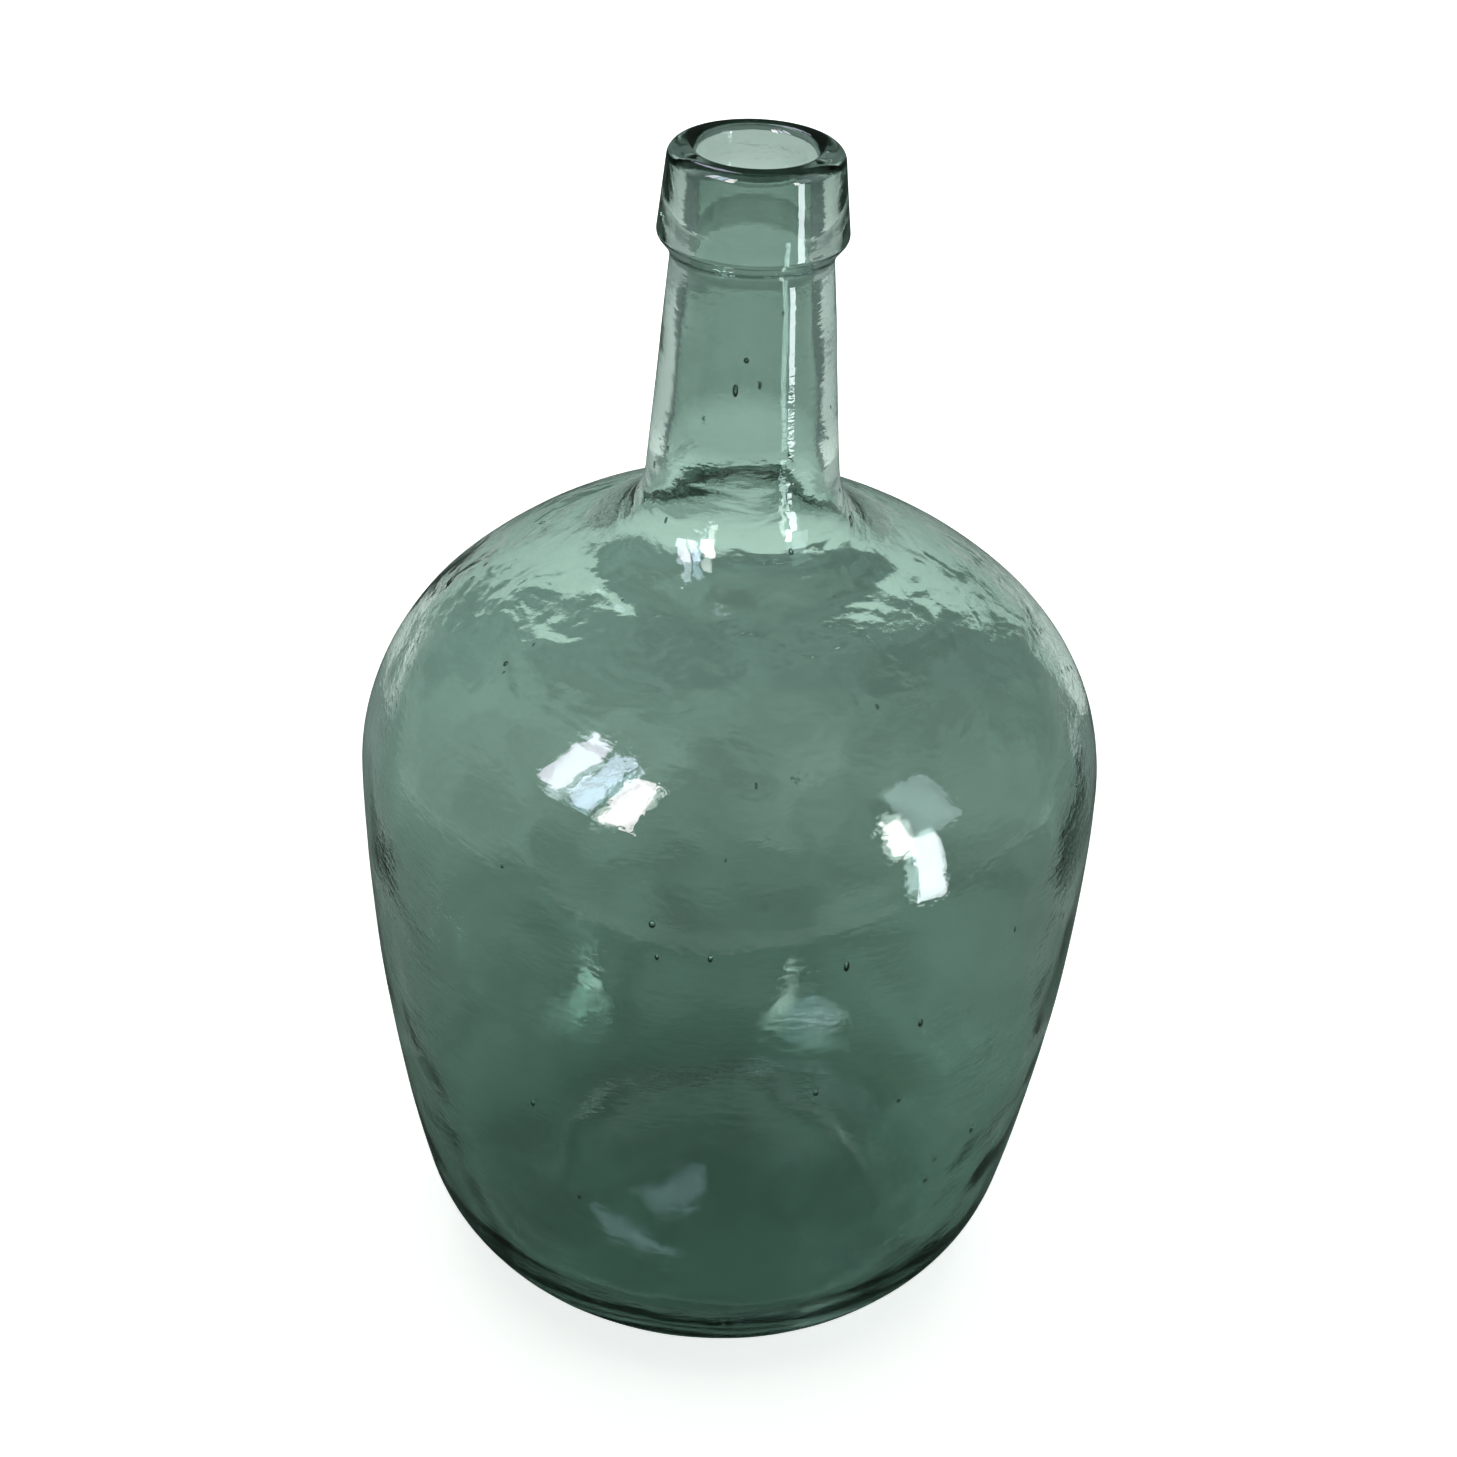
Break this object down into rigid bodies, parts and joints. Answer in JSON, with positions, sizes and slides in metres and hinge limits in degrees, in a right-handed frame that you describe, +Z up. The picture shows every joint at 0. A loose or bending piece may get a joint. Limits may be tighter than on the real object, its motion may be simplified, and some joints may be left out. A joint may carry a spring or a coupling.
{
  "type": "demijohn",
  "caption": "Green glass demijohn with a round-shouldered bell-shaped body, a slim tapering neck, a sloping collar at the mouth and a push-up in the base.",
  "frame": {"origin": "centre of the resting ring, on the surface the bottle stands on", "axes": "+Z up along the bottle's axis, out of the mouth; the bottle is the same all round"},
  "size_m": [0.2, 0.2, 0.329],
  "materials": {
    "bottle_glass": "glossy, green-tinted, slightly wavy blown glass"
  },
  "bodies": {
    "root": {"bottle": "bottle_glass"}
  },
  "joints": []
}
